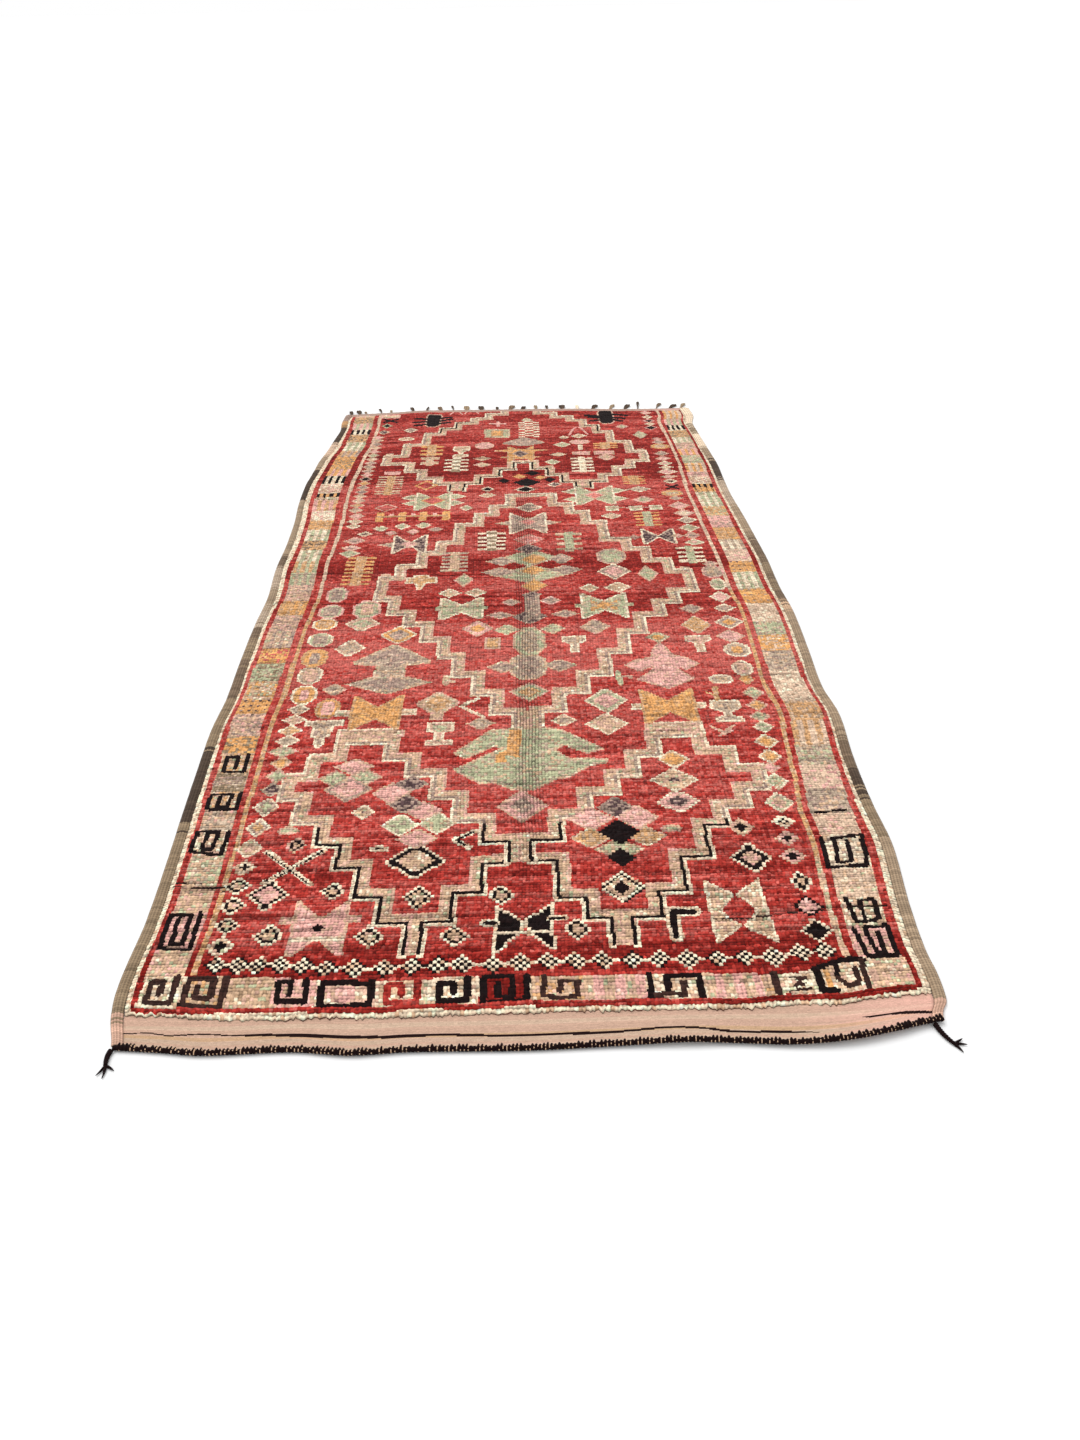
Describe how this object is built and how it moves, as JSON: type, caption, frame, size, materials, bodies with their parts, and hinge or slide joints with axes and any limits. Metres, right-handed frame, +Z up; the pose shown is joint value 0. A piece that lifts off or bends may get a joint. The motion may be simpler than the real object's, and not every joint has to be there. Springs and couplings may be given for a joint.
{
  "type": "berber runner rug",
  "caption": "Hand-knotted wool runner rug lying flat: knotted pile, flat-woven near end with a black corded edge, goat-hair side bindings, corner tassels and a knotted far fringe.",
  "frame": {"origin": "on the floor under the middle of the rug's box", "axes": "+X across the rug, +Y along it from the flat-woven end to the fringe, +Z up from the floor"},
  "size_m": [1.5712, 3.9918, 0.0175],
  "materials": {
    "knotted_wool": "worn hand-knotted wool pile in faded reds, creams, pinks, sage and grey",
    "goat_hair": "overcast goat hair in taupe, grey, black and cream lengths",
    "black_wool": "tight overcast black wool",
    "fringe_wool": "knotted dark grey-green wool"
  },
  "bodies": {
    "root": {"rug_cloth": "knotted_wool", "left_binding": "goat_hair", "right_binding": "goat_hair", "near_edging": "black_wool", "near_left_tassel": "black_wool", "near_right_tassel": "black_wool", "far_fringe": "fringe_wool"}
  },
  "joints": []
}
